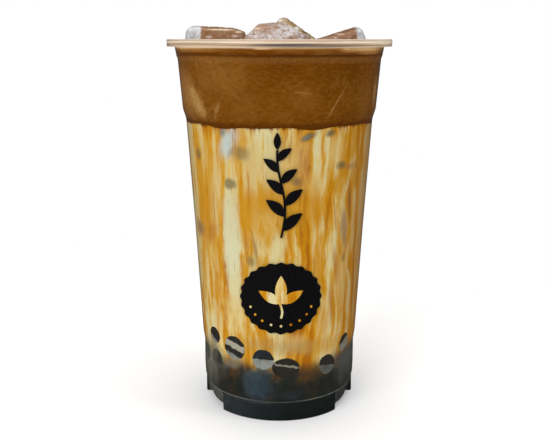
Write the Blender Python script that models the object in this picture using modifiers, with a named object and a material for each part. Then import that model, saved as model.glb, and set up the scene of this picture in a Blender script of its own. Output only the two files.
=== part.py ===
"""Bubble tea in a clear plastic cup: tapioca pearls heaped at the bottom, milk streaked with brown
sugar above them, a cap of brown foam, and ice that stands out of the foam over the rim.

Metres, +Z up. The origin is on the cup's axis at the surface that it stands on, and the side shown
faces -Y.
"""

import math
import random

import bmesh
import bpy
from mathutils import Matrix, Vector

MM = 0.001

# Cup: the driving sizes
RIM_RADIUS = 47.5 * MM
CUP_HEIGHT = 159.4 * MM
WALL = 0.9 * MM
TURN_STEPS = 60
GAP = 0.3 * MM

# Rim: a flat flange with its edge turned down
LIP_DROP = 3.0 * MM
LIP_THICKNESS = 1.0 * MM
FLANGE_THICKNESS = 1.1 * MM
RIM_ROUNDING = 0.5 * MM
NECK_RADIUS = 44.6 * MM
MOUTH_ROUNDING = 0.8 * MM

# Outer wall as (height, radius), from the neck down to the shoulder over the foot
WALL_STATIONS = (
    (CUP_HEIGHT - FLANGE_THICKNESS, NECK_RADIUS),
    (152.4 * MM, 43.5 * MM),
    (151.6 * MM, 43.1 * MM),
    (130.6 * MM, 41.4 * MM),
    (126.7 * MM, 40.1 * MM),
    (80.0 * MM, 37.2 * MM),
    (31.2 * MM, 34.6 * MM),
    (26.8 * MM, 33.95 * MM),
    (16.0 * MM, 34.05 * MM),
    (11.0 * MM, 33.85 * MM),
    (8.4 * MM, 33.15 * MM),
)

# Foot: a band that stands out in three lobes. Between them a recess leans in to the standing ring.
FOOT_TOP = 7.4 * MM
FOOT_RADIUS = 33.5 * MM
FOOT_ROUNDING = 0.8 * MM
STANDING_INNER_RADIUS = 29.2 * MM
UNDERSIDE_RADIUS = 28.0 * MM
UNDERSIDE_RISE = 2.4 * MM
FLOOR_TOP = 3.4 * MM
RECESS_TOP_RADIUS = 33.1 * MM
RECESS_FOOT_RADIUS = 30.7 * MM
RECESS_LIFT = 0.8 * MM
RECESS_ANGLES = (math.radians(-156.6), math.radians(-23.4), math.radians(90))
RECESS_HALF_WIDTH = math.radians(18.4)
LOBE_START = math.radians(19.4)
RECESS_STEPS = 3

# Levels of the drink
FOAM_TOP = CUP_HEIGHT - 3.4 * MM
FOAM_SWELL = 0.5 * MM
FOAM_FOOT = 125.6 * MM
FOAM_DRIP = 0.7 * MM

# Pearls
PEARL_RADIUS = 4.3 * MM
PEARL_ROWS = 3
PEARLS_IN_ROW = 20
ROW_PITCH = 7.5 * MM
PEARL_SEED = 12
CORE_INSET = 2.9 * MM
HEAP_TOP = 33.4 * MM
HEAP_TILT = 1.3 * MM
# The pearls that show highest, as (angle from the front in degrees, depth under the heap's top)
TOP_PEARLS = (
    (-62, 0.1 * MM),
    (-38, 0.5 * MM),
    (-13, 1.1 * MM),
    (9, 4.4 * MM),
    (38, 2.5 * MM),
    (64, 0.3 * MM),
    (91, 1.9 * MM),
    (116, 0.2 * MM),
    (147, 2.4 * MM),
    (174, 0.6 * MM),
    (-153, 1.8 * MM),
    (-125, 0.3 * MM),
    (-94, 1.6 * MM),
)

# Ice: name, size, centre with its height over the rim, turn about X, Y and Z in degrees, rounding
ICE = (
    ("ice_left", (26.0, 21.0, 21.0), (-27.2, 0.5, -5.4), (3, 2, 5), 3.2),
    ("ice_front", (26.5, 19.0, 19.0), (-1.0, -21.6, -3.4), (-7, -3, -4), 6.0),
    ("ice_back", (22.0, 15.5, 17.0), (5.0, 18.0, -2.5), (6, 34, -4), 3.0),
    ("ice_right", (24.5, 19.5, 16.0), (25.0, -2.6, -5.3), (4, -16, -4), 2.8),
)
ICE_UNEVENNESS = 0.35 * MM
ICE_SEED = 5

FRONT = math.radians(-90)


def clear_scene():
    for obj in list(bpy.data.objects):
        bpy.data.objects.remove(obj)


def new_collection(name):
    collection = bpy.data.collections.new(name)
    bpy.context.scene.collection.children.link(collection)
    return collection


def new_material(name, colour, roughness, alpha=1.0):
    material = bpy.data.materials.new(name)
    material.use_nodes = True
    shader = material.node_tree.nodes["Principled BSDF"]
    shader.inputs["Base Color"].default_value = (*colour, 1.0)
    shader.inputs["Roughness"].default_value = roughness
    shader.inputs["Metallic"].default_value = 0.0
    shader.inputs["Alpha"].default_value = alpha
    return material


def add_object(name, mesh, collection):
    obj = bpy.data.objects.new(name, mesh)
    collection.objects.link(obj)
    return obj


def evaluated_mesh(obj):
    """The object's mesh with its modifiers applied."""
    graph = bpy.context.evaluated_depsgraph_get()
    return bpy.data.meshes.new_from_object(obj.evaluated_get(graph))


def turned(name, profile, collection):
    """A solid of revolution. The profile, as (radius, height), runs down the outer side."""
    mesh = bpy.data.meshes.new(name)
    points = [(radius, 0.0, height) for radius, height in profile]
    mesh.from_pydata(points, [(i, i + 1) for i in range(len(points) - 1)], [])
    obj = add_object(name, mesh, collection)
    screw = obj.modifiers.new("turn", "SCREW")
    screw.axis = "Z"
    screw.steps = TURN_STEPS
    screw.render_steps = TURN_STEPS
    screw.use_merge_vertices = True
    screw.merge_threshold = 0.00002
    obj.data = evaluated_mesh(obj)
    obj.modifiers.clear()
    return obj


def outer_radius(height):
    """Radius of the cup's outside at a height, through the wall's stations."""
    stations = WALL_STATIONS + ((FOOT_TOP, FOOT_RADIUS), (0.0, FOOT_RADIUS))
    for (high, top), (low, bottom) in zip(stations, stations[1:]):
        if height >= low:
            share = min(1.0, (height - low) / (high - low))
            return bottom + (top - bottom) * share
    return FOOT_RADIUS


def cavity_radius(height):
    return outer_radius(height) - WALL


def rounded_corner(radius, height, rounding, start, end, steps=2):
    """Points of a quarter round about (radius, height), from one angle to another in degrees."""
    angles = [math.radians(start + (end - start) * i / steps) for i in range(steps + 1)]
    return [(radius + rounding * math.cos(a), height + rounding * math.sin(a)) for a in angles]


def cup_outer_profile():
    top = CUP_HEIGHT
    profile = [(0.0, top)]
    profile += rounded_corner(RIM_RADIUS - RIM_ROUNDING, top - RIM_ROUNDING, RIM_ROUNDING, 90, 0)
    profile.append((RIM_RADIUS, top - LIP_DROP))
    profile.append((RIM_RADIUS - LIP_THICKNESS, top - LIP_DROP))
    profile.append((RIM_RADIUS - LIP_THICKNESS, top - FLANGE_THICKNESS))
    profile += [(radius, height) for height, radius in WALL_STATIONS]
    profile.append((FOOT_RADIUS, FOOT_TOP))
    profile += rounded_corner(FOOT_RADIUS - FOOT_ROUNDING, FOOT_ROUNDING, FOOT_ROUNDING, 0, -90)
    profile.append((STANDING_INNER_RADIUS, 0.0))
    profile.append((UNDERSIDE_RADIUS, UNDERSIDE_RISE))
    profile.append((0.0, UNDERSIDE_RISE))
    return profile


def cavity_profile():
    """The inside of the cup, carried on past the mouth so that it cuts the flange open."""
    mouth = cavity_radius(CUP_HEIGHT) + MOUTH_ROUNDING
    above = CUP_HEIGHT + 4 * MM
    profile = [(0.0, above), (mouth, above), (mouth, CUP_HEIGHT)]
    inner = WALL_STATIONS[1:]
    profile.append((cavity_radius(CUP_HEIGHT), CUP_HEIGHT - MOUTH_ROUNDING))
    profile += [(radius - WALL, height) for height, radius in inner[:-1]]
    shoulder_height, shoulder_radius = inner[-1]
    profile.append((shoulder_radius - WALL, shoulder_height + WALL))
    profile.append((FOOT_RADIUS - WALL, FOOT_TOP + WALL))
    profile.append((FOOT_RADIUS - WALL, FLOOR_TOP + FOOT_ROUNDING))
    profile.append((FOOT_RADIUS - WALL - FOOT_ROUNDING, FLOOR_TOP))
    profile.append((0.0, FLOOR_TOP))
    return profile


def recess_radius(height):
    """Radius of a recess's sloping outer face at a height."""
    slope = (RECESS_TOP_RADIUS - RECESS_FOOT_RADIUS) / WALL_STATIONS[-1][0]
    return RECESS_FOOT_RADIUS + slope * height


def mould_recesses(obj, below):
    """Slopes the foot inwards in the three recesses and lifts its lower edge there."""
    step = math.tau / TURN_STEPS
    for vertex in obj.data.vertices:
        x, y, z = vertex.co
        radius = math.hypot(x, y)
        if z > below or radius < STANDING_INNER_RADIUS - 0.1 * MM:
            continue
        angle = math.atan2(y, x)
        for centre in RECESS_ANGLES:
            off = math.remainder(angle - centre, math.tau)
            place = round(off / step)
            if abs(place) <= RECESS_STEPS:
                if radius > STANDING_INNER_RADIUS + 0.1 * MM:
                    radius -= FOOT_RADIUS - recess_radius(z)
                if z < FLOOR_TOP - 0.1 * MM:
                    z = RECESS_LIFT + z * (1 - RECESS_LIFT / FLOOR_TOP)
                angle = centre + place * RECESS_HALF_WIDTH / RECESS_STEPS
            elif abs(place) == RECESS_STEPS + 1:
                angle = centre + math.copysign(LOBE_START, off)
        vertex.co = (radius * math.cos(angle), radius * math.sin(angle), z)


def make_cup(collection, cutters):
    """A thin clear shell: flange, collar, two stacking steps and a lobed foot."""
    cup = turned("cup", cup_outer_profile(), collection)
    mould_recesses(cup, below=FOOT_TOP + 0.1 * MM)
    cavity = turned("cup_cavity", cavity_profile(), cutters)
    mould_recesses(cavity, below=FOOT_TOP + WALL + 0.1 * MM)
    cut = cup.modifiers.new("cavity", "BOOLEAN")
    cut.operation = "DIFFERENCE"
    cut.object = cavity
    return cup


def heap_top(x, y):
    """Height of the surface between the pearls and the milk: a little higher on the left."""
    return HEAP_TOP - HEAP_TILT * x / FOOT_RADIUS


def foam_top(x, y):
    """The foam's uneven top, level with the wall at its edge."""
    reach = cavity_radius(FOAM_TOP)
    inside = max(0.0, 1.0 - math.hypot(x, y) / reach)
    waves = math.sin(x / (7 * MM) + 1.3) * math.cos(y / (9 * MM)) + math.sin((x - y) / (12 * MM))
    return FOAM_TOP + FOAM_SWELL * waves * min(1.0, 5 * inside)


def foam_foot(x, y):
    """The foam's lower edge, which hangs into the milk in shallow drips."""
    angle = math.atan2(y, x)
    drips = math.sin(7 * angle + 0.6) + 0.7 * math.sin(13 * angle + 2.0)
    return FOAM_FOOT + FOAM_DRIP * drips * math.hypot(x, y) / cavity_radius(FOAM_FOOT) / 1.7


def shape_level(obj, level, surface):
    """Moves the points at one height onto a surface over x and y."""
    for vertex in obj.data.vertices:
        if abs(vertex.co.z - level) < 0.01 * MM:
            vertex.co.z = surface(vertex.co.x, vertex.co.y)


def contents(name, top, bottom, ring_shares, collection):
    """A solid that fills the cup between two heights, 0.3 mm clear of the wall."""
    between = [height for height, _ in WALL_STATIONS if bottom + MM < height < top - MM]
    side = [top, *between, bottom]
    profile = [(0.0, top)]
    profile += [(share * (cavity_radius(top) - GAP), top) for share in ring_shares]
    profile += [(cavity_radius(height) - GAP, height) for height in side]
    profile += [
        (share * (cavity_radius(bottom) - GAP), bottom) for share in reversed(ring_shares)
    ]
    profile.append((0.0, bottom))
    return turned(name, profile, collection)


def make_milk(collection):
    """Milk tea from the heap of pearls up to the foam."""
    milk = contents("milk_tea", FOAM_FOOT - GAP, HEAP_TOP, (0.5,), collection)
    shape_level(milk, FOAM_FOOT - GAP, lambda x, y: foam_foot(x, y) - GAP)
    shape_level(milk, HEAP_TOP, lambda x, y: heap_top(x, y) + GAP)
    return milk


def ice_block(name, size, turn, rounding, clearance, collection):
    """A rounded block of ice with uneven faces, grown by a clearance on every side."""
    mesh = bpy.data.meshes.new(name)
    shape = bmesh.new()
    bmesh.ops.create_cube(shape, size=1.0)
    bmesh.ops.scale(shape, vec=[(side + 2 * clearance) * MM for side in size], verts=shape.verts)
    bmesh.ops.bevel(
        shape,
        geom=list(shape.edges),
        offset=rounding * MM,
        segments=2,
        profile=0.5,
        affect="EDGES",
    )
    draw = random.Random(f"{name}{ICE_SEED}")
    for vertex in shape.verts:
        vertex.co += Vector([draw.uniform(-1, 1) * ICE_UNEVENNESS for _ in range(3)])
    bmesh.ops.triangulate(shape, faces=list(shape.faces))
    shape.to_mesh(mesh)
    shape.free()
    block = add_object(name, mesh, collection)
    block.rotation_euler = [math.radians(angle) for angle in turn]
    return block


def make_ice(collection):
    """The four blocks that stand out of the foam."""
    blocks = []
    for name, size, centre, turn, rounding in ICE:
        block = ice_block(name, size, turn, rounding, 0.0, collection)
        block.location = Vector(centre) * MM + Vector((0, 0, CUP_HEIGHT))
        blocks.append(block)
    return blocks


def make_foam(collection, cutters):
    """The brown foam cap, cut round the ice."""
    foam = contents("foam", FOAM_TOP, FOAM_FOOT, (0.3, 0.6, 0.85), collection)
    shape_level(foam, FOAM_TOP, foam_top)
    shape_level(foam, FOAM_FOOT, foam_foot)
    for name, size, centre, turn, rounding in ICE:
        cutter = ice_block(name, size, turn, rounding, GAP / MM, cutters)
        cutter.name = f"{name}_socket"
        cutter.location = Vector(centre) * MM + Vector((0, 0, CUP_HEIGHT))
        cut = foam.modifiers.new(cutter.name, "BOOLEAN")
        cut.operation = "DIFFERENCE"
        cut.object = cutter
    return foam


def ring_place(angle, height, radius):
    """The centre of a pearl that lies just clear of the wall."""
    room = cavity_radius(height)
    if height < FOOT_TOP + PEARL_RADIUS:
        room = recess_radius(height - 0.2 * PEARL_RADIUS) - WALL
    reach = room - GAP - radius
    return Vector((reach * math.cos(angle), reach * math.sin(angle), height))


def pearl_places():
    """(centre, radius) of each pearl. One that would lie in a pearl already placed is left out."""
    draw = random.Random(PEARL_SEED)
    places = []

    def add(angle, height, radius):
        centre = ring_place(angle, height, radius)
        if all((centre - other).length > 0.88 * (radius + size) for other, size in places):
            places.append((centre, radius))

    for degrees, depth in TOP_PEARLS:
        angle = FRONT + math.radians(degrees)
        x, y = FOOT_RADIUS * math.cos(angle), FOOT_RADIUS * math.sin(angle)
        add(angle, heap_top(x, y) - PEARL_RADIUS - depth, PEARL_RADIUS)
    for row in range(PEARL_ROWS):
        for i in range(PEARLS_IN_ROW):
            angle = math.tau * (i + 0.5 * (row % 2) + draw.uniform(-0.03, 0.03)) / PEARLS_IN_ROW
            height = FLOOR_TOP + GAP + PEARL_RADIUS + row * ROW_PITCH + draw.uniform(0, 0.5) * MM
            add(angle, height, PEARL_RADIUS * draw.uniform(0.94, 1.0))
    return places


def make_pearls(collection, cutters):
    """The heap: a turned core with every pearl that shows fused to it."""
    floor = FLOOR_TOP + GAP
    foot_reach = recess_radius(FLOOR_TOP) - WALL - GAP - CORE_INSET
    reach = cavity_radius(HEAP_TOP) - GAP - CORE_INSET
    profile = [(0.0, HEAP_TOP), (reach, HEAP_TOP), (foot_reach, FOOT_TOP), (foot_reach, floor)]
    profile.append((0.0, floor))
    heap = turned("pearls", profile, collection)
    shape_level(heap, HEAP_TOP, heap_top)
    loose = bpy.data.collections.new("loose_pearls")
    cutters.children.link(loose)
    ball = bpy.data.meshes.new("pearl")
    shape = bmesh.new()
    bmesh.ops.create_icosphere(shape, subdivisions=2, radius=1.0)
    shape.to_mesh(ball)
    shape.free()
    for number, (centre, radius) in enumerate(pearl_places()):
        pearl = add_object(f"loose_pearl_{number:02d}", ball.copy(), loose)
        turn = Matrix.Rotation(number * 0.7, 4, "Z") @ Matrix.Rotation(number * 0.4, 4, "X")
        pearl.data.transform(Matrix.Translation(centre) @ turn @ Matrix.Scale(radius, 4))
    join = heap.modifiers.new("pearls", "BOOLEAN")
    join.operation = "UNION"
    join.operand_type = "COLLECTION"
    join.collection = loose
    bpy.context.view_layer.update()
    heap.data = evaluated_mesh(heap)
    heap.modifiers.clear()
    for pearl in list(loose.objects):
        bpy.data.objects.remove(pearl)
    bpy.data.collections.remove(loose)
    return heap


def dress(obj, material):
    obj.data.materials.clear()
    obj.data.materials.append(material)
    obj.data.shade_smooth()
    obj.data.set_sharp_from_angle(angle=math.radians(30))


def main():
    clear_scene()
    drink = new_collection("bubble_tea")
    cutters = new_collection("cutters")
    plastic = new_material("clear_plastic", (0.90, 0.92, 0.93), 0.05, alpha=0.25)
    foam_brown = new_material("foam", (0.20, 0.075, 0.010), 0.55)
    milk_cream = new_material("milk_tea", (0.72, 0.50, 0.22), 0.30)
    tapioca = new_material("tapioca", (0.012, 0.009, 0.008), 0.18)
    clear_ice = new_material("ice", (0.75, 0.70, 0.64), 0.08, alpha=0.6)
    dress(make_cup(drink, cutters), plastic)
    dress(make_milk(drink), milk_cream)
    dress(make_foam(drink, cutters), foam_brown)
    dress(make_pearls(drink, cutters), tapioca)
    for block in make_ice(drink):
        dress(block, clear_ice)
    for cutter in cutters.objects:
        cutter.hide_render = True
        cutter.display_type = "WIRE"


main()
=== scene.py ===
"""Looks of the bubble tea: clear cup, brown foam, streaked milk tea, pearls in syrup and ice.

Lengths in the constants are in millimetres. The front of the cup faces -Y.
"""

import math
import random

import bmesh
import bpy
from mathutils import Matrix, Vector, noise


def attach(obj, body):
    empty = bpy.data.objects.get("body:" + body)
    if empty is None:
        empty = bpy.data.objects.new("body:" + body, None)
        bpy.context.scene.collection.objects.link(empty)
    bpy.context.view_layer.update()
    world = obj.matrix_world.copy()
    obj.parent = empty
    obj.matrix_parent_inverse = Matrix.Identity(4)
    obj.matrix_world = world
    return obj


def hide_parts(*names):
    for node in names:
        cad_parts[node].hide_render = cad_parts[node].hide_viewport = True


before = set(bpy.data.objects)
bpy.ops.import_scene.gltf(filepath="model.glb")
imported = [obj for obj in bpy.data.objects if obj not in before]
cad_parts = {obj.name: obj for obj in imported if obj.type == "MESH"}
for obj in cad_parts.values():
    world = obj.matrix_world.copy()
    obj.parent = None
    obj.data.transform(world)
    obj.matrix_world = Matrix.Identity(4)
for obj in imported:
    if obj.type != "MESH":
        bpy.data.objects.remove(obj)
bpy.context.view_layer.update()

MM = 0.001

# The cup, with the same sizes as the solids
CUP_HEIGHT = 159.4
RIM_RADIUS = 47.5
WALL = 0.9
LIP_DROP = 3.0
LIP_THICKNESS = 1.0
FLANGE_THICKNESS = 1.1
NECK_RADIUS = 44.6
MOUTH_ROUNDING = 0.8
WALL_STATIONS = (
    (CUP_HEIGHT - FLANGE_THICKNESS, NECK_RADIUS),
    (152.4, 43.5),
    (151.6, 43.1),
    (130.6, 41.4),
    (126.7, 40.1),
    (80.0, 37.2),
    (31.2, 34.6),
    (26.8, 33.95),
    (16.0, 34.05),
    (11.0, 33.85),
    (8.4, 33.15),
)
WALL_ROUNDINGS = (1.2, 0.5, 0.5, 1.0, 1.6, 4.0, 1.0, 1.0, 1.0, 0.5, 0.4)
FOOT_TOP = 7.4
FOOT_RADIUS = 33.5
FOOT_ROUNDING = 0.8
STANDING_INNER_RADIUS = 29.2
UNDERSIDE_RADIUS = 28.0
UNDERSIDE_RISE = 2.4
FLOOR_TOP = 3.4
RECESS_TOP_RADIUS = 33.1
RECESS_FOOT_RADIUS = 30.7
RECESS_LIFT = 0.8
RECESS_ANGLES = (-156.6, -23.4, 90.0)
RECESS_HALF_WIDTH = 18.4
LOBE_START = 19.4

# What fills the cup
GAP = 0.3
FOAM_TOP = CUP_HEIGHT - 3.4
FOAM_SWELL = 0.5
FOAM_FOOT = 125.6
FOAM_DRIP = 0.7
HEAP_TOP = 33.4
HEAP_TILT = 1.3
PEARL_RADIUS = 4.3
# How far what fills the cup goes into its wall, so that no gap shows
INTO_WALL = 0.2
# Half the gap that keeps the milk off the foam and off the syrup
SEAM = 0.005
# Radius on which lengths round the wall are measured
WALL_REFERENCE = 36.0

# The camera stands level with the rim and looks down a little
CAMERA_PLACE = (-1.85, -346.3, 159.4)
CAMERA_PITCH = math.radians(12.8)
CAMERA_LENS = 52.1
SENSOR = 36.0
PHOTO_WIDTH = 550
PHOTO_HEIGHT = 440
FOCAL_PIXELS = CAMERA_LENS / SENSOR * PHOTO_WIDTH
# Places along a line of sight where the wall is looked for, a step apart in depth
SIGHT_STEP = 0.1
SIGHT_STEPS = range(2600, 4200)


def srgb(red, green, blue):
    """A colour given as it shows on screen, 0 to 255, as the linear values that shaders take."""
    values = []
    for channel in (red, green, blue):
        share = channel / 255
        values.append(share / 12.92 if share <= 0.04045 else ((share + 0.055) / 1.055) ** 2.4)
    return (*values, 1.0)


CREAM = srgb(212, 188, 124)
PALE = srgb(210, 200, 150)
BEIGE = srgb(202, 162, 84)
HONEY = srgb(198, 146, 46)
OCHRE = srgb(192, 130, 18)
CARAMEL = srgb(166, 98, 14)
UMBER = srgb(122, 76, 26)
MAUVE = srgb(128, 102, 78)
ICE_WHITE = srgb(184, 196, 190)
# Pale cream, also used for a painted highlight
MILK_PALE_AND_SHEEN = srgb(207, 203, 164)
DEEP_GOLD = srgb(190, 126, 4)
ICE_GREY = srgb(112, 122, 120)
# Painted shade of submerged ice edges, seen through the milk
ICE_EDGE_SHADE = srgb(104, 94, 66)
COCOA_LIGHT = srgb(134, 88, 32)
COCOA = srgb(112, 65, 4)
COCOA_DARK = srgb(94, 50, 0)
FOAM_SHADE = srgb(82, 40, 1)
FOAM_AMBER = srgb(174, 124, 64)
FOAM_BEIGE = srgb(178, 138, 80)
COLLAR_LIGHT = srgb(218, 180, 128)
FOAM_TOP_BROWN = srgb(150, 104, 62)
SYRUP_BLACK = srgb(32, 34, 30)
SYRUP_GREY = srgb(42, 43, 39)
SYRUP_BROWN = srgb(74, 54, 28)
SYRUP_TAN = srgb(118, 110, 92)
GREY_WALL_REFLECTION = srgb(112, 109, 96)
BLUE_SHEEN = srgb(45, 58, 67)
PALE_GREY_REFLECTION = srgb(74, 76, 72)
SLATE_SHEEN = srgb(68, 78, 86)
MURK = srgb(150, 126, 80)
INK = srgb(8, 6, 8)


# ---- Places on the wall ----


def outer_radius(height):
    """Radius of the wall's outside, without its roundings and recesses."""
    stations = WALL_STATIONS + ((FOOT_TOP, FOOT_RADIUS), (0.0, FOOT_RADIUS))
    if height >= stations[0][0]:
        return stations[0][1]
    for (high, top), (low, bottom) in zip(stations, stations[1:]):
        if height >= low:
            share = (height - low) / (high - low)
            return bottom + (top - bottom) * share
    return FOOT_RADIUS


def cavity_radius(height):
    return outer_radius(height) - WALL


def wall_point(angle, height, radius):
    """A point at an angle from the front, in radians, growing to the viewer's right."""
    return Vector((radius * math.sin(angle), -radius * math.cos(angle), height))


def sight_line(u, v):
    """Direction in which the camera sees a pixel, as long as one step of depth."""
    forward = Vector((0, math.cos(CAMERA_PITCH), -math.sin(CAMERA_PITCH)))
    upward = Vector((0, math.sin(CAMERA_PITCH), math.cos(CAMERA_PITCH)))
    aside = (u - PHOTO_WIDTH / 2) / FOCAL_PIXELS
    above = (PHOTO_HEIGHT / 2 - v) / FOCAL_PIXELS
    return forward + Vector((1, 0, 0)) * aside + upward * above


def on_wall(u, v):
    """(angle from the front, height) of the wall's point that the camera shows at a pixel."""
    ray = sight_line(u, v)
    start = Vector(CAMERA_PLACE)
    best = None
    for step in SIGHT_STEPS:
        point = start + ray * (step * SIGHT_STEP)
        off = math.hypot(point.x, point.y) - outer_radius(point.z)
        if best is None or off < best[0]:
            best = (off, point)
        if off <= 0:
            break
    point = best[1]
    return math.atan2(point.x, -point.y), point.z


def on_plane(u, v, y):
    """(x, height) of the point at a depth y that the camera shows at a pixel."""
    ray = sight_line(u, v)
    point = Vector(CAMERA_PLACE) + ray * ((y - CAMERA_PLACE[1]) / ray.y)
    return point.x, point.z


# ---- Meshes ----

# Edges sharper than this show as edges
SHARP_ANGLE = math.radians(40)
CUP_SEGMENTS = 240
FILLING_SEGMENTS = 180
FOAM_RINGS = 44
# Heights that differ by less than this are the same
SAME = 1e-6


def add_piece(name, verts, faces, material, node=None):
    """A piece from vertices in millimetres. node is the solid that it replaces."""
    mesh = bpy.data.meshes.new(name)
    mesh.from_pydata([tuple(c * MM for c in v) for v in verts], [], faces)
    mesh.validate()
    mesh.update()
    piece = bpy.data.objects.new(name, mesh)
    bpy.context.scene.collection.objects.link(piece)
    finish_piece(piece, material, node)
    return piece


def finish_piece(piece, material, node=None):
    piece.data.materials.clear()
    piece.data.materials.append(material)
    piece.data.shade_smooth()
    piece.data.set_sharp_from_angle(angle=SHARP_ANGLE)
    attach(piece, "root")
    if node:
        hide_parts(node)


def eased(profile, roundings, steps=4):
    """The profile with its corners rounded. roundings gives a length for each point's index."""
    points = []
    for i, point in enumerate(profile):
        reach = roundings.get(i, 0.0)
        if not reach or i in (0, len(profile) - 1):
            points.append(point)
            continue
        here, before, after = (Vector(profile[j]) for j in (i, i - 1, i + 1))
        reach = min(reach, (before - here).length * 0.48, (after - here).length * 0.48)
        start = here + (before - here).normalized() * reach
        end = here + (after - here).normalized() * reach
        for k in range(steps + 1):
            t = k / steps
            point = start * (1 - t) ** 2 + here * 2 * t * (1 - t) + end * t * t
            points.append((point.x, point.y))
    return points


def turn_angles(count, extra=()):
    """Angles round the axis, with extra ones where a step needs them."""
    angles = {round(math.tau * i / count, 6) for i in range(count)}
    angles |= {round(math.radians(a) % math.tau, 6) for a in extra}
    return sorted(angles)


def lathe(profile, angles, mould):
    """Vertices and faces of a turned solid. The profile runs down its outer side, and mould
    gives each point's final radius and height."""
    verts, rings, faces = [], [], []
    for radius, height in profile:
        ring = []
        for angle in angles if radius > SAME else angles[:1]:
            r, z = mould(radius, angle, height)
            ring.append(len(verts))
            verts.append((r * math.cos(angle), r * math.sin(angle), z))
        rings.append(ring)
    for above, below in zip(rings, rings[1:]):
        for i in range(len(angles)):
            j = (i + 1) % len(angles)
            if len(above) == 1 and len(below) == 1:
                continue
            if len(above) == 1:
                faces.append((above[0], below[i], below[j]))
            elif len(below) == 1:
                faces.append((above[i], below[0], above[j]))
            else:
                faces.append((above[i], below[i], below[j], above[j]))
    return verts, faces


def recess_share(angle):
    """1 in the foot's recesses, 0 on its lobes."""
    for centre in RECESS_ANGLES:
        off = abs(math.remainder(angle - math.radians(centre), math.tau))
        share = (math.radians(LOBE_START) - off) / math.radians(LOBE_START - RECESS_HALF_WIDTH)
        if share > 0:
            return min(1.0, share)
    return 0.0


RECESS_EDGES = [
    centre + side * edge
    for centre in RECESS_ANGLES
    for side in (-1, 1)
    for edge in (RECESS_HALF_WIDTH, LOBE_START)
]


def recess_radius(height):
    """Radius of a recess's sloping outer face at a height."""
    slope = (RECESS_TOP_RADIUS - RECESS_FOOT_RADIUS) / WALL_STATIONS[-1][0]
    return RECESS_FOOT_RADIUS + slope * height


def recess_depth(angle, height, wall=0.0):
    """How far a recess draws the foot in, on its outside or a wall's thickness further in."""
    neck = WALL_STATIONS[-1][0] + wall
    fade = min(1.0, max(0.0, (neck - height) / (neck - wall - FOOT_TOP)))
    return (FOOT_RADIUS - recess_radius(height)) * recess_share(angle) * fade


def mould_cup_foot(radius, angle, height):
    """The recesses of the foot, on both sides of its wall and under its edge."""
    inside = radius < outer_radius(height) - WALL / 2
    if height < FLOOR_TOP - 0.1 and radius > UNDERSIDE_RADIUS:
        reach = (radius - UNDERSIDE_RADIUS) / (STANDING_INNER_RADIUS - UNDERSIDE_RADIUS)
        lift = RECESS_LIFT * (1 - height / FLOOR_TOP)
        lifted = height + lift * recess_share(angle) * min(1.0, reach)
    else:
        lifted = height
    if height < FOOT_TOP + 2 * WALL and radius > STANDING_INNER_RADIUS + FOOT_ROUNDING:
        radius -= recess_depth(angle, height, WALL if inside else 0.0)
    return radius, lifted


def make_cup(material):
    """The clear shell, from the floor up the inside, over the rim and down to the foot."""
    top = CUP_HEIGHT
    foot = FOOT_RADIUS - WALL
    neck_height, neck_radius = WALL_STATIONS[-1]
    inside = [(0.0, FLOOR_TOP), (foot, FLOOR_TOP), (foot, FOOT_TOP + WALL)]
    inside += [(neck_radius - WALL, neck_height + WALL)]
    inside += [(radius - WALL, height) for height, radius in reversed(WALL_STATIONS[1:-1])]
    mouth = cavity_radius(top)
    inside += [(mouth, top - MOUTH_ROUNDING), (mouth + MOUTH_ROUNDING, top)]
    outside = [
        (RIM_RADIUS, top),
        (RIM_RADIUS, top - LIP_DROP),
        (RIM_RADIUS - LIP_THICKNESS, top - LIP_DROP),
        (RIM_RADIUS - LIP_THICKNESS, top - FLANGE_THICKNESS),
    ]
    first_station = len(inside) + len(outside)
    outside += [(radius, height) for height, radius in WALL_STATIONS]
    lower_edge = len(inside) + len(outside) + 1
    outside += [
        (FOOT_RADIUS, FOOT_TOP),
        (FOOT_RADIUS, 0.0),
        (STANDING_INNER_RADIUS, 0.0),
        (UNDERSIDE_RADIUS, UNDERSIDE_RISE),
        (0.0, UNDERSIDE_RISE),
    ]
    profile = inside + outside
    roundings = {i: 0.5 for i in range(len(profile))}
    roundings[1] = roundings[lower_edge] = FOOT_ROUNDING
    roundings.update({first_station + i: r for i, r in enumerate(WALL_ROUNDINGS)})
    angles = turn_angles(CUP_SEGMENTS, RECESS_EDGES)
    verts, faces = lathe(eased(profile, roundings), angles, mould_cup_foot)
    add_piece("cup_shell", verts, faces, material, "cup")


def waves(x, y):
    return math.sin(x / 7 + 1.3) * math.cos(y / 9) + math.sin((x - y) / 12)


def foam_top(x, y):
    inside = max(0.0, 1.0 - math.hypot(x, y) / cavity_radius(FOAM_TOP))
    swell = FOAM_TOP + FOAM_SWELL * waves(x, y) * min(1.0, 5 * inside)
    froth = noise.fractal(Vector((x, y, 3.0)) * 0.35, 1.0, 2.0, 4) * 0.35
    return swell + froth


def foam_foot(x, y):
    angle = math.atan2(y, x)
    drips = math.sin(7 * angle + 0.6) + 0.7 * math.sin(13 * angle + 2.0)
    return FOAM_FOOT + FOAM_DRIP * drips * math.hypot(x, y) / cavity_radius(FOAM_FOOT) / 1.7


def heap_top(x, y):
    return HEAP_TOP - HEAP_TILT * x / FOOT_RADIUS


def steps_between(high, low, pitch):
    count = max(1, math.ceil((high - low) / pitch))
    return [high + (low - high) * i / count for i in range(count + 1)]


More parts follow.
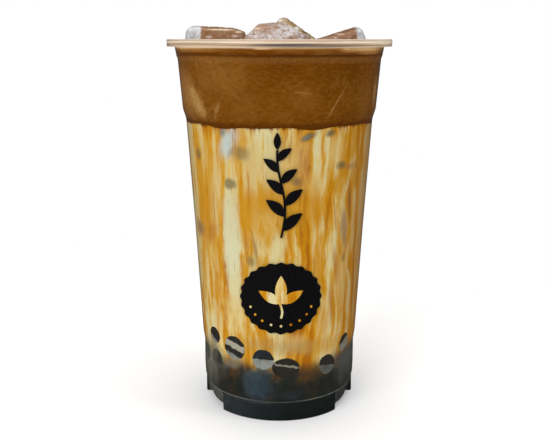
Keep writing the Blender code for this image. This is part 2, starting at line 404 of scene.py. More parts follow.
def make_foam(material):
    """The foam cap, up against the inside of the wall."""
    reach = cavity_radius(FOAM_TOP) + INTO_WALL
    rings = [(reach * i / FOAM_RINGS, FOAM_TOP) for i in range(FOAM_RINGS)]
    heights = steps_between(FOAM_TOP, FOAM_FOOT, 1.0)
    side = [(cavity_radius(z) + INTO_WALL, z) for z in heights]
    profile = rings + side + [(side[-1][0] * 0.5, FOAM_FOOT), (0.0, FOAM_FOOT)]

    def shape(radius, angle, height):
        x, y = radius * math.cos(angle), radius * math.sin(angle)
        if height > FOAM_TOP - SAME:
            creep = 0.9 * max(0.0, (radius / reach - 0.93) / 0.07) ** 2
            return radius, foam_top(x, y) + creep
        if height < FOAM_FOOT + SAME:
            return radius, foam_foot(x, y)
        return radius, height

    verts, faces = lathe(profile, turn_angles(CUP_SEGMENTS), shape)
    add_piece("foam_cap", verts, faces, material, "foam")


def make_milk(material):
    """The tea between the foam's uneven foot and the tilted top of the heap."""
    heights = steps_between(FOAM_FOOT, HEAP_TOP, 3.0)
    side = [(cavity_radius(z) + INTO_WALL, z) for z in heights]
    profile = [(0.0, FOAM_FOOT)] + side + [(0.0, HEAP_TOP)]

    def shape(radius, angle, height):
        x, y = radius * math.cos(angle), radius * math.sin(angle)
        if height > FOAM_FOOT - SAME:
            return radius, foam_foot(x, y) - SEAM
        if height < HEAP_TOP + SAME:
            return radius, heap_top(x, y) + SEAM
        return radius, height

    verts, faces = lathe(profile, turn_angles(FILLING_SEGMENTS), shape)
    add_piece("milk_streaks", verts, faces, material, "milk_tea")


def make_syrup(material):
    """The liquid between and under the pearls, down to the cup's floor."""
    low = FLOOR_TOP - INTO_WALL
    side = [(cavity_radius(z) + INTO_WALL, z) for z in steps_between(HEAP_TOP, 9.5, 1.5)]
    foot = FOOT_RADIUS - WALL + INTO_WALL
    down = [(foot, z) for z in steps_between(FOOT_TOP + WALL, low + FOOT_ROUNDING, 1.2)]
    profile = [(0.0, HEAP_TOP)] + side + down + [(foot - FOOT_ROUNDING, low), (0.0, low)]

    def shape(radius, angle, height):
        if height > HEAP_TOP - SAME:
            return radius, heap_top(radius * math.cos(angle), radius * math.sin(angle))
        if radius > foot - FOOT_ROUNDING - 0.1:
            radius -= recess_depth(angle, height, WALL)
        return radius, height

    verts, faces = lathe(profile, turn_angles(FILLING_SEGMENTS, RECESS_EDGES), shape)
    add_piece("dark_syrup", verts, faces, material, "pearls")


# ---- Shader building ----


class Shader:
    """Short calls for the nodes of one material."""

    def __init__(self, name):
        self.material = bpy.data.materials.new(name)
        self.material.use_nodes = True
        self.tree = self.material.node_tree
        self.tree.nodes.clear()
        self.output = self.node("ShaderNodeOutputMaterial")

    def node(self, kind, feeds=None, **settings):
        """A node with its settings made and its inputs fed, each found by its name or number."""
        node = self.tree.nodes.new(kind)
        for key, value in settings.items():
            setattr(node, key, value)
        for key, value in (feeds or {}).items():
            self.put(node.inputs[key], value)
        return node

    def put(self, socket, value):
        if isinstance(value, bpy.types.NodeSocket):
            self.tree.links.new(value, socket)
        elif value is not None:
            socket.default_value = value

    def math(self, operation, *values):
        return self.node("ShaderNodeMath", dict(enumerate(values)), operation=operation).outputs[0]

    def times(self, a, b):
        return self.math("MULTIPLY", a, b)

    def minus(self, a, b):
        return self.math("SUBTRACT", a, b)

    def larger(self, a, b):
        return self.math("MAXIMUM", a, b)

    def weighed(self, *parts):
        """The sum of (value, weight) parts."""
        (value, weight), *rest = parts
        total = self.times(value, weight)
        for value, weight in rest:
            total = self.math("MULTIPLY_ADD", value, weight, total)
        return total

    def vector(self, operation, a, b=None):
        node = self.node("ShaderNodeVectorMath", {0: a, 1: b}, operation=operation)
        return node.outputs["Value" if operation == "LENGTH" else "Vector"]

    def combine(self, x, y, z):
        return self.node("ShaderNodeCombineXYZ", {0: x, 1: y, 2: z}).outputs[0]

    def separate(self, vector):
        return self.node("ShaderNodeSeparateXYZ", {0: vector}).outputs

    def scaled(self, vector, by):
        feeds = {"Vector": vector, "Scale": by}
        return self.node("ShaderNodeVectorMath", feeds, operation="SCALE").outputs["Vector"]

    def stretched(self, vector, x, y, z):
        return self.vector("MULTIPLY", vector, (x, y, z))

    def noise(self, vector, scale=1.0, detail=2.0, roughness=0.5, distortion=0.0):
        feeds = {"Vector": vector, "Scale": scale, "Detail": detail, "Roughness": roughness}
        return self.node("ShaderNodeTexNoise", {**feeds, "Distortion": distortion}).outputs[0]

    def wisps(self, vector, around, upward, detail=2.0, roughness=0.5):
        """Noise with one scale round the wall and another along its height."""
        return self.noise(self.stretched(vector, around, around, upward), 1.0, detail, roughness)

    def sway(self, noise, by, base=None):
        """How far a noise swings from its middle, times a factor, on top of a base."""
        off = self.minus(noise, 0.5)
        return self.times(off, by) if base is None else self.math("MULTIPLY_ADD", off, by, base)

    def spread(self, value, low, high, new_low=0.0, new_high=1.0, kind="LINEAR"):
        feeds = dict(enumerate((value, low, high, new_low, new_high)))
        return self.node("ShaderNodeMapRange", feeds, interpolation_type=kind).outputs[0]

    def fade(self, value, low, high, top=1.0, bottom=0.0):
        """From bottom to top, with soft ends, as a value runs from low to high."""
        return self.spread(value, low, high, bottom, top, "SMOOTHSTEP")

    def mix(self, share, a, b):
        """Two colours mixed. The node's sockets for colours have these numbers."""
        return self.node("ShaderNodeMix", {0: share, 6: a, 7: b}, data_type="RGBA").outputs[2]

    def stain(self, colour, tint, mark, strength):
        """The colour, turned to a tint where a mark is, as far as its strength says."""
        return self.mix(self.times(mark, strength), colour, tint)

    def blend(self, share, first, second):
        """Two shaders mixed, where the share is the second one's."""
        return self.node("ShaderNodeMixShader", {0: share, 1: first, 2: second}).outputs[0]

    def ramp(self, value, stops):
        node = self.node("ShaderNodeValToRGB", {0: value})
        elements = node.color_ramp.elements
        while len(elements) < len(stops):
            elements.new(1.0)
        for element, (place, colour) in zip(elements, stops):
            element.position = place
            element.color = colour
        return node.outputs[0]

    def levels(self, value, stops, top=1.0):
        """A number that runs through the levels of (place, level) stops."""
        greys = [(place, (level / top,) * 3 + (1.0,)) for place, level in stops]
        return self.times(self.ramp(value, greys), top)

    def line(self, value, middle, half, soft=0.5):
        """1 near a middle value, fading to 0 at a half width from it."""
        off = self.math("ABSOLUTE", self.minus(value, middle))
        return self.fade(off, half * (1 + soft), half * (1 - soft))

    def crinkle(self, vector, scale, width):
        """Thin winding lines."""
        return self.line(self.noise(vector, scale, 2.0, 0.5, 1.0), 0.5, width, 0.9)

    def bump(self, height, strength, distance):
        feeds = {"Height": height, "Strength": strength, "Distance": distance}
        return self.node("ShaderNodeBump", feeds).outputs[0]

    def place(self):
        """Position in millimetres."""
        return self.scaled(self.node("ShaderNodeTexCoord").outputs["Object"], 1 / MM)

    def wall_place(self):
        """(place on a cylinder of the reference radius, arc length from the front, height)."""
        x, y, z = self.separate(self.place())
        flat = self.vector("NORMALIZE", self.combine(x, y, 0.0))
        around_x, around_y, _ = self.separate(self.scaled(flat, WALL_REFERENCE))
        angle = self.math("ARCTAN2", x, self.times(y, -1.0))
        return self.combine(around_x, around_y, z), self.times(angle, WALL_REFERENCE), z

    def from_axis(self, x, y):
        return self.vector("LENGTH", self.combine(x, y, 0.0))

    def turn(self, arc):
        """Share of a turn round the cup, counted from the back."""
        return self.math("ADD", self.math("DIVIDE", arc, WALL_REFERENCE * math.tau), 0.5)

    def blot(self, arc, z, centre, half, tilt=0.0, soft=0.5, ragged=None):
        """1 inside an ellipse on the wall, fading to 0 outside it."""
        vector = self.combine(self.minus(arc, centre[0]), self.minus(z, centre[1]), 0.0)
        if tilt:
            feeds = {"Vector": vector, "Angle": math.radians(tilt)}
            vector = self.node("ShaderNodeVectorRotate", feeds, rotation_type="Z_AXIS").outputs[0]
        reach = self.vector("LENGTH", self.stretched(vector, 1 / half[0], 1 / half[1], 0.0))
        if ragged is not None:
            reach = self.math("ADD", reach, ragged)
        return self.fade(reach, 1 + soft, 1 - soft)

    def principled(self, colour, roughness, specular=0.5, normal=None, index=None):
        """A surface, or a clear body where its refractive index is given."""
        feeds = {"Base Color": colour, "Roughness": roughness, "Normal": normal}
        feeds["Specular IOR Level"] = specular
        if index:
            feeds.update({"Transmission Weight": 1.0, "IOR": index})
        return self.node("ShaderNodeBsdfPrincipled", feeds).outputs[0]

    def attribute(self, name):
        return self.node("ShaderNodeAttribute", attribute_name=name).outputs["Vector"]

    def show(self, shader):
        self.put(self.output.inputs["Surface"], shader)
        return self.material


# Painted highlights and painted shade of the rim's clear lip: colours from its lower edge up,
# as height over that edge
LIP_LIGHT_BANDS = (
    (0.00, srgb(226, 200, 170)),
    (0.30, srgb(226, 200, 170)),
    (0.42, srgb(142, 118, 94)),
    (0.80, srgb(172, 148, 122)),
    (1.40, srgb(188, 164, 138)),
    (1.60, srgb(248, 228, 200)),
    (2.05, srgb(248, 228, 200)),
    (2.25, srgb(186, 162, 138)),
    (3.00, srgb(206, 186, 168)),
)
LIP_SPAN = 4.0
# Painted highlights and painted shade on the lip: arc of the middle, its height below the rim,
# half sizes, colour, strength
LIP_LIGHT_MARKS = (
    (9.0, 2.45, (15.0, 0.75), srgb(112, 98, 84), 0.75),
    (1.0, 2.00, (10.0, 0.40), srgb(74, 68, 70), 0.75),
    (-28.0, 1.50, (14.0, 0.40), srgb(164, 130, 100), 0.6),
    (-30.0, 2.70, (16.0, 0.40), srgb(232, 204, 170), 0.6),
    (4.0, 1.00, (18.0, 0.55), srgb(206, 176, 150), 0.6),
    (42.0, 1.10, (14.0, 1.10), srgb(244, 226, 200), 0.6),
    (42.0, 3.00, (14.0, 0.45), srgb(226, 196, 158), 0.7),
)
PLASTIC_INDEX = 1.49


def lip_painted_light(s, wall, arc, z):
    """Painted highlights and shade: light and dark lines that run round the lip, as in a clear
    moulded edge.
    """
    wander = s.wisps(wall, 0.09, 0.3, 2.0, 0.6)
    height = s.sway(wander, 0.3, s.minus(z, CUP_HEIGHT - LIP_DROP))
    bands = [(place / LIP_SPAN, tint) for place, tint in LIP_LIGHT_BANDS]
    colour = s.ramp(s.math("DIVIDE", height, LIP_SPAN), bands)
    for middle, below_rim, half, tint, strength in LIP_LIGHT_MARKS:
        mark = s.blot(arc, z, (middle, CUP_HEIGHT - below_rim), half)
        colour = s.stain(colour, tint, mark, strength)
    patch = s.spread(s.wisps(wall, 0.25, 1.0), 0.55, 0.75, 0.0, 0.3)
    return s.mix(patch, colour, srgb(150, 124, 96))


def foot_painted_reflection(s, wall, arc):
    """The foot's painted reflection of the dark syrup: grey in the recesses, nearly black on the
    lobes.
    """
    turn = s.turn(arc)
    # Painted light: the lobes are lighter toward the left and darker toward the right
    lobes = s.ramp(
        turn,
        (
            (0.00, srgb(30, 34, 33)),
            (0.26, srgb(34, 35, 31)),
            (0.38, srgb(44, 49, 51)),
            (0.47, srgb(26, 32, 33)),
            (0.52, srgb(20, 26, 25)),
            (0.75, srgb(18, 22, 22)),
            (1.00, srgb(30, 34, 33)),
        ),
    )
    # The recess panels, painted grey, lighter on the left as painted light
    panels = s.ramp(turn, ((0.30, srgb(86, 87, 82)), (0.68, srgb(48, 53, 50))))
    turned = s.math("ABSOLUTE", s.math("DIVIDE", arc, WALL_REFERENCE * math.pi / 180))
    side = s.line(turned, 90 + RECESS_ANGLES[1], RECESS_HALF_WIDTH + 0.4, 0.02)
    back = s.spread(turned, 180 - LOBE_START, 180 - RECESS_HALF_WIDTH)
    colour = s.mix(s.larger(side, back), lobes, panels)
    cloud = s.wisps(wall, 0.3, 0.25, 3.0, 0.6)
    return s.mix(s.spread(cloud, 0.45, 0.75, 0.0, 0.5), colour, srgb(20, 24, 23))


def clear_plastic():
    """Clear plastic that lets lamps and soft light through to what it holds, with painted light on
    the lip and foot.
    """
    s = Shader("clear_plastic")
    wall, arc, z = s.wall_place()
    faint = s.wisps(wall, 0.05, 0.02)
    gloss = s.spread(faint, 0.3, 0.7, 0.02, 0.07)
    body = s.principled((0.97, 0.98, 0.98, 1.0), gloss, 0.5, index=PLASTIC_INDEX)
    neck = WALL_STATIONS[-1][0]
    lip = CUP_HEIGHT - LIP_DROP
    foot = s.fade(z, neck + 0.5, neck - 0.1)
    rim = s.spread(z, lip - 0.5, lip - 0.1)
    # Painted highlight: a pale grey line at the neck, over the foot's painted reflection
    lower = s.mix(foot, srgb(140, 144, 136), foot_painted_reflection(s, wall, arc))
    painted_light_colour = s.mix(s.spread(z, 60.0, 61.0), lower, lip_painted_light(s, wall, arc, z))
    # Painted highlight: a line along the neck, missing at the middle of the front
    beside = s.spread(s.math("ABSOLUTE", arc), 6.0, 16.0, 0.0, 0.42)
    glint = s.times(s.line(z, neck + 0.4, 0.2), beside)
    on_top = s.spread(z, CUP_HEIGHT - 0.12, CUP_HEIGHT - 0.02, 0.92, 0.3)
    # The painted light covers the clear plastic on the lip and the foot
    share = s.larger(s.times(rim, on_top), s.times(foot, 0.93))
    painted_light_shader = s.principled(painted_light_colour, 0.25, 0.3)
    plastic_with_painted_light = s.blend(s.larger(share, glint), body, painted_light_shader)
    rays = s.node("ShaderNodeLightPath").outputs
    passing = s.larger(rays["Is Shadow Ray"], rays["Is Diffuse Ray"])
    return s.show(s.blend(passing, plastic_with_painted_light, s.node("ShaderNodeBsdfTransparent").outputs[0]))


def wall_blot(s, arc, z, u, v, half_u, half_v, tilt=0.0, soft=0.5, ragged=None):
    """A blot whose middle and half sizes are given in the photograph's pixels."""
    angle, height = on_wall(u, v)
    left, _ = on_wall(u - half_u, v)
    right, _ = on_wall(u + half_u, v)
    _, high = on_wall(u, v - half_v)
    _, low = on_wall(u, v + half_v)
    half = (max(0.3, (right - left) / 2 * WALL_REFERENCE), max(0.3, (high - low) / 2))
    return s.blot(arc, z, (angle * WALL_REFERENCE, height), half, tilt, soft, ragged)


def paint_marks(s, colour, marks, arc, z, ragged):
    for tint, u, v, half_u, half_v, tilt, soft, strength in marks:
        mark = wall_blot(s, arc, z, u, v, half_u, half_v, tilt, soft, ragged)
        colour = s.stain(colour, tint, mark, strength)
    return colour


# Marks in the milk: colour, middle and half sizes in pixels of the photo, tilt in degrees,
# softness of the edge, strength
MILK_MARKS = (
    (HONEY, 205, 175, 12, 44, 0, 0.9, 0.6),
    (BEIGE, 207, 245, 8, 30, 0, 0.9, 0.5),
    (OCHRE, 204, 214, 6, 26, 20, 0.7, 0.7),
    (CARAMEL, 212, 232, 4, 12, 24, 0.7, 0.6),
    (OCHRE, 217, 290, 4, 42, 4, 0.7, 0.6),
    (HONEY, 237, 306, 6, 9, 0, 0.8, 0.6),
    # A tall pale band down the left, partly a cream streak and partly a painted highlight (these
    # three marks and the two below)
    (MILK_PALE_AND_SHEEN, 230.5, 212, 8.5, 26, 0, 0.35, 0.75),
    (MILK_PALE_AND_SHEEN, 231.5, 240, 8.5, 40, 0, 0.3, 0.9),
    (MILK_PALE_AND_SHEEN, 232.5, 268, 8.0, 30, 0, 0.4, 0.75),
    (PALE, 234, 296, 7, 22, 0, 0.5, 0.6),
    (CREAM, 233, 316, 9, 14, 0, 0.7, 0.6),
    (DEEP_GOLD, 247, 214, 6.5, 25, 0, 0.8, 1.0),
    (DEEP_GOLD, 270, 206, 16, 9, 0, 0.9, 0.6),
    (HONEY, 268, 210, 30, 32, 0, 0.8, 0.75),
    (OCHRE, 264, 200, 12, 10, 0, 0.9, 0.6),
    (CARAMEL, 246, 250, 1.6, 14, -4, 0.6, 0.5),
    (UMBER, 255, 250, 1.8, 13, -8, 0.6, 0.6),
    (PALE, 280, 246, 6, 12, 0, 0.7, 0.7),
    (BEIGE, 248, 158, 14, 20, 0, 0.8, 0.6),
    (CREAM, 286, 160, 20, 24, 0, 0.8, 0.6),
    (HONEY, 292, 205, 12, 26, 0, 0.8, 0.55),
    (OCHRE, 316, 211, 6, 19, -6, 0.6, 0.8),
    (CARAMEL, 305, 204, 1.6, 20, 0, 0.7, 0.55),
    (CARAMEL, 328, 215, 2.0, 17, 3, 0.6, 0.65),
    (OCHRE, 338, 225, 2.4, 9, -14, 0.6, 0.6),
    (OCHRE, 318, 262, 4, 20, -8, 0.7, 0.65),
    (CARAMEL, 337, 270, 2.4, 18, -12, 0.6, 0.75),
    (CARAMEL, 332, 304, 2.4, 20, -6, 0.6, 0.7),
    (OCHRE, 324, 322, 5, 16, 0, 0.7, 0.65),
    (CREAM, 342, 285, 5, 30, -4, 0.7, 0.6),
    (CREAM, 336, 150, 8, 14, 0, 0.7, 0.6),
    (BEIGE, 312, 184, 10, 10, 0, 0.8, 0.6),
    (OCHRE, 323, 146, 1.6, 14, 0, 0.6, 0.7),
    (OCHRE, 262, 340, 4, 12, 0, 0.7, 0.6),
    (CREAM, 292, 344, 12, 8, 0, 0.8, 0.5),
    (MURK, 268, 346, 30, 7, 0, 0.9, 0.4),
    (MURK, 310, 348, 26, 6, 0, 0.9, 0.5),
    (HONEY, 328, 345, 14, 8, 0, 0.8, 0.6),
    (BEIGE, 236, 136, 9, 9, 0, 0.8, 0.6),
    (ICE_WHITE, 227, 143, 6, 15, 30, 0.9, 0.95),
    (ICE_WHITE, 231, 134, 4, 6, 0, 0.8, 0.5),
    (ICE_GREY, 221.5, 131, 2.6, 5.0, 10, 0.7, 0.8),
    (ICE_GREY, 231, 151, 2.0, 6.0, 35, 0.8, 0.4),
    (BEIGE, 304, 146, 8, 4, 0, 0.7, 0.5),
    # Painted shade of ice edges behind the milk: the darker grey-brown spots
    (ICE_EDGE_SHADE, 309, 137, 8, 3.2, -28, 0.6, 0.9),
    (ICE_GREY, 306, 138, 4, 1.6, -28, 0.7, 0.7),
    (ICE_EDGE_SHADE, 332, 133, 5.0, 3.4, -20, 0.6, 0.9),
    (ICE_EDGE_SHADE, 241, 153, 7, 6.5, 0, 0.7, 0.6),
    (ICE_EDGE_SHADE, 229, 184, 5.5, 5.0, 0, 0.45, 0.75),
    (ICE_EDGE_SHADE, 343, 165, 4.2, 3.8, 0, 0.7, 0.9),
    (MAUVE, 352, 166, 6, 2.5, 0, 0.7, 0.5),
    (ICE_EDGE_SHADE, 297, 182, 6.0, 4.5, 20, 0.7, 0.7),
    (ICE_EDGE_SHADE, 198, 154, 2.2, 5, 12, 0.7, 0.75),
    # Painted shade: thin dark lines near the left and right edges
    (MAUVE, 200, 227, 2.6, 6.5, 8, 0.7, 0.8),
    (MAUVE, 350, 200, 1.7, 16, -7, 0.6, 0.7),
    (MAUVE, 345, 228, 2.6, 17, -8, 0.6, 0.7),
    (ICE_EDGE_SHADE, 344, 257, 1.5, 4, 0, 0.6, 0.6),
    (ICE_EDGE_SHADE, 251, 262, 4, 5, 0, 0.7, 0.6),
    # Painted shade: thin dark lines along the right edge, with a golden line at the very edge
    (UMBER, 350, 205, 0.8, 18, -6, 0.7, 0.8),
    (CARAMEL, 356.5, 215, 1.0, 75, -5, 0.8, 0.8),
    (UMBER, 352.5, 290, 0.9, 40, -5, 0.8, 0.7),
    (HONEY, 359.5, 180, 1.6, 40, -5, 0.8, 0.6),
    # Painted reflection: grey at the left and right edges of the lower wall; pale pearl tails that
    # are partly milk and partly painted reflection
    (GREY_WALL_REFLECTION, 210, 357, 7, 16, 0, 0.8, 0.8),
    (SYRUP_TAN, 215, 349, 3, 12, 0, 0.7, 0.8),
    (SYRUP_TAN, 233, 366, 10, 8, -10, 0.7, 0.9),
    (PALE_GREY_REFLECTION, 264, 374, 9, 7, 0, 0.7, 0.75),
    (SYRUP_BROWN, 309, 374, 15, 8, 0, 0.9, 0.8),
    (PALE_GREY_REFLECTION, 346, 358, 7, 14, 0, 0.8, 0.7),
)


# Marks in the foam, written the same way: mottling, painted light toward the left,
# painted shade toward the right and pale streaks that are painted highlights
FOAM_MARKS = (
    (COCOA_LIGHT, 218, 74, 20, 16, 0, 0.9, 0.8),
    (COCOA_LIGHT, 190, 100, 6, 22, -8, 0.8, 0.8),
    (FOAM_AMBER, 184, 90, 4, 18, -4, 0.9, 0.5),
    (FOAM_AMBER, 190, 94, 3.5, 12, -6, 0.8, 0.45),
    (COCOA_LIGHT, 244, 104, 18, 14, 0, 0.9, 0.4),
    (COCOA_DARK, 280, 72, 22, 14, 0, 0.9, 0.8),
    (COCOA, 288, 102, 28, 24, 0, 0.9, 0.75),
    (COCOA_LIGHT, 306, 98, 12, 10, 0, 0.8, 0.35),
    (COCOA_DARK, 345, 72, 24, 14, 0, 0.9, 0.6),
    (COCOA_LIGHT, 365, 98, 5, 16, 0, 0.9, 0.45),
    (FOAM_BEIGE, 197, 104, 3.6, 12, -30, 0.7, 0.9),
    (FOAM_BEIGE, 192, 92, 2.4, 5, -10, 0.7, 0.7),
    (FOAM_AMBER, 203, 112, 2.2, 4, -30, 0.7, 0.7),
    (FOAM_BEIGE, 216, 110, 1.4, 8, 24, 0.8, 0.4),
    (FOAM_BEIGE, 337, 103, 0.9, 15, 30, 0.7, 0.4),
    (FOAM_BEIGE, 304, 93, 8, 0.9, 6, 0.7, 0.25),
    (FOAM_BEIGE, 375, 92, 1.0, 12, 4, 0.8, 0.6),
)


# Painted highlights along the collar under the rim
COLLAR_MARKS = (
    (FOAM_AMBER, 190, 48.8, 15, 2.4, 0, 0.8, 0.55),
    (COLLAR_LIGHT, 183, 46.8, 9, 1.4, 0, 0.7, 0.75),
    (FOAM_AMBER, 305, 48.4, 50, 1.4, 0, 0.6, 0.6),
    (COLLAR_LIGHT, 262, 48.2, 8, 1.3, 0, 0.5, 0.8),
    (COLLAR_LIGHT, 312, 47.2, 40, 0.8, 0, 0.4, 0.95),
    (FOAM_AMBER, 350, 49.8, 9, 2.6, 0, 0.6, 0.8),
    (FOAM_AMBER, 372, 50.8, 9, 3.4, 0, 0.6, 0.8),
    (COLLAR_LIGHT, 372, 48.8, 10, 1.5, 0, 0.6, 0.7),
    (COLLAR_LIGHT, 348, 49.2, 4, 0.9, 0, 0.6, 0.6),
)


# Marks in the syrup
SYRUP_MARKS = (
    # Painted reflection: grey at the left and right edges of the lower wall; pale pearl tails that
    # are partly milk and partly painted reflection
    (GREY_WALL_REFLECTION, 210, 352, 7, 22, 0, 0.7, 0.85),
    (SYRUP_GREY, 219, 362, 2.6, 15, 0, 0.7, 0.6),
    (SYRUP_TAN, 214, 347, 2.4, 9, 0, 0.6, 0.8),
    (SYRUP_TAN, 232, 361, 8, 6.5, -12, 0.5, 0.8),
    (PALE_GREY_REFLECTION, 264, 370, 8, 5, 0, 0.6, 0.8),
    # Painted highlights: a bluish sheen on the pearls near the bottom
    (SLATE_SHEEN, 254, 384, 11.5, 14.0, 0, 0.3, 0.6),
    (BLUE_SHEEN, 260, 387, 12.0, 14, 0, 0.6, 0.85),
    (BLUE_SHEEN, 291, 395, 8, 3.5, 0, 0.9, 0.35),
    (SYRUP_BROWN, 303, 366, 4, 7, 0, 0.6, 0.85),
    (SYRUP_BROWN, 315, 371, 13, 7, 0, 0.8, 0.7),
    (PALE_GREY_REFLECTION, 347, 356, 6, 18, 0, 0.7, 0.85),
)


# Painted shade: how far the milk turns a darker brown toward its sides,
# as (turn round the cup from the back, share)
MILK_SHADE = (
    (0.00, 0.10),
    (0.20, 0.25),
    (0.265, 0.60),
    (0.30, 0.20),
    (0.33, 0.00),
    (0.60, 0.05),
    (0.64, 0.40),
    (0.70, 0.75),
    (0.75, 0.85),
    (0.80, 0.20),
    (1.00, 0.10),
)


def milk_colour(s):
    """Cream tea with brown sugar run down inside the wall: colour, roughness and wall place."""
    wall, arc, z = s.wall_place()
    drift = s.sway(s.wisps(wall, 0.030, 0.034, 1.0), 8.0)
    drift = s.sway(s.wisps(wall, 0.13, 0.075), 2.0, drift)
    bent = s.vector("ADD", wall, s.combine(drift, drift, 0.0))
    broad = s.wisps(bent, 0.16, 0.018)
    middle = s.wisps(bent, 0.42, 0.034)
    fine = s.wisps(bent, 1.20, 0.09)
    cloud = s.wisps(wall, 0.22, 0.09, 3.0, 0.6)
    streak = s.weighed((broad, 0.60), (middle, 0.29), (fine, 0.11))
    streak = s.sway(cloud, 0.22, streak)
    colour = s.ramp(
        s.spread(streak, 0.36, 0.65),
        (
            (0.18, PALE),
            (0.36, CREAM),
            (0.48, BEIGE),
            (0.60, HONEY),
            (0.76, OCHRE),
            (1.0, CARAMEL),
        ),
    )
    ragged = s.sway(cloud, 1.1, s.sway(middle, 0.7))
    colour = paint_marks(s, colour, MILK_MARKS, arc, z, ragged)
    for wisp, shown, tint in (
        ((0.9, 0.040, 1.0), (0.62, 0.74, 0.55), CARAMEL),
        ((1.3, 0.070, 1.0), (0.67, 0.78, 0.42), UMBER),
        ((1.9, 0.120, 2.0), (0.60, 0.76, 0.20), CARAMEL),
    ):
        colour = s.mix(s.fade(s.wisps(bent, *wisp), *shown), colour, tint)
    # Painted shade: the milk turns a darker brown toward its sides, more on the right
    side_shade_tone = s.mix(fine, srgb(168, 112, 26), srgb(136, 80, 8))
    colour = s.mix(s.levels(s.turn(arc), MILK_SHADE), colour, side_shade_tone)
    drip = s.wisps(wall, 0.6, 0.03)
    edge = s.math("MULTIPLY_ADD", drip, 16.0, s.minus(z, FOAM_FOOT + 3.0))
    colour = s.mix(s.fade(edge, 3.0, 8.0, 0.7), colour, CARAMEL)
    fringe = s.math("MULTIPLY_ADD", drip, 3.0, s.minus(z, FOAM_FOOT))
    colour = s.mix(s.fade(fringe, 0.7, 2.4), colour, COCOA_DARK)
    return colour, s.spread(streak, 0.3, 0.7, 0.5, 0.7), wall, arc, z


def milk_material():
    s = Shader("milk_tea_streaks")
    colour, rough, _, _, _ = milk_colour(s)
    return s.show(s.principled(colour, rough, 0.0))


# Height to which the syrup reaches, written the same way
SYRUP_LEVELS = (
    (0.00, 24.0),
    (0.28, 27.6),
    (0.375, 24.0),
    (0.47, 24.0),
    (0.55, 23.4),
    (0.60, 24.4),
    (0.64, 25.5),
    (0.70, 28.0),
    (1.00, 24.0),
)


def syrup_tint(s, wall, arc, z, depth, wisp):
    """The syrup's own colour at a depth under its edge."""
    cloud = s.wisps(wall, 0.12, 0.10, 3.0, 0.6)
    syrup = s.ramp(
        cloud,
        ((0.30, SYRUP_BLACK), (0.50, SYRUP_GREY), (0.60, SYRUP_BROWN), (0.70, SYRUP_BLACK)),
    )
    syrup = s.mix(s.fade(depth, 3.0, 9.0, 0.8), syrup, SYRUP_BLACK)
    ragged = s.sway(wisp, 1.0)
    return paint_marks(s, syrup, SYRUP_MARKS, arc, z, ragged)


def syrup_depth(s, wall, arc, z):
    """(depth under the syrup's uneven edge, the noise that frays it)."""
    cloud = s.wisps(wall, 0.09, 0.06, 3.0, 0.55)
    wisp = s.wisps(wall, 0.35, 0.12, 3.0, 0.6)
    level = s.sway(cloud, 5.0, s.levels(s.turn(arc), SYRUP_LEVELS, 40.0))
    return s.minus(s.sway(wisp, 5.0, level), z), wisp


def syrup_material():
    """The same streaks, running down into dark syrup between the pearls."""
    s = Shader("dark_syrup")
    colour, rough, wall, arc, z = milk_colour(s)
    depth, wisp = syrup_depth(s, wall, arc, z)
    syrup = syrup_tint(s, wall, arc, z, depth, wisp)
    colour = s.mix(s.fade(depth, -6.0, 1.0, 0.5), colour, SYRUP_BROWN)
    colour = s.mix(s.fade(depth, -2.5, 2.5), colour, syrup)
    return s.show(s.principled(colour, rough, 0.0))


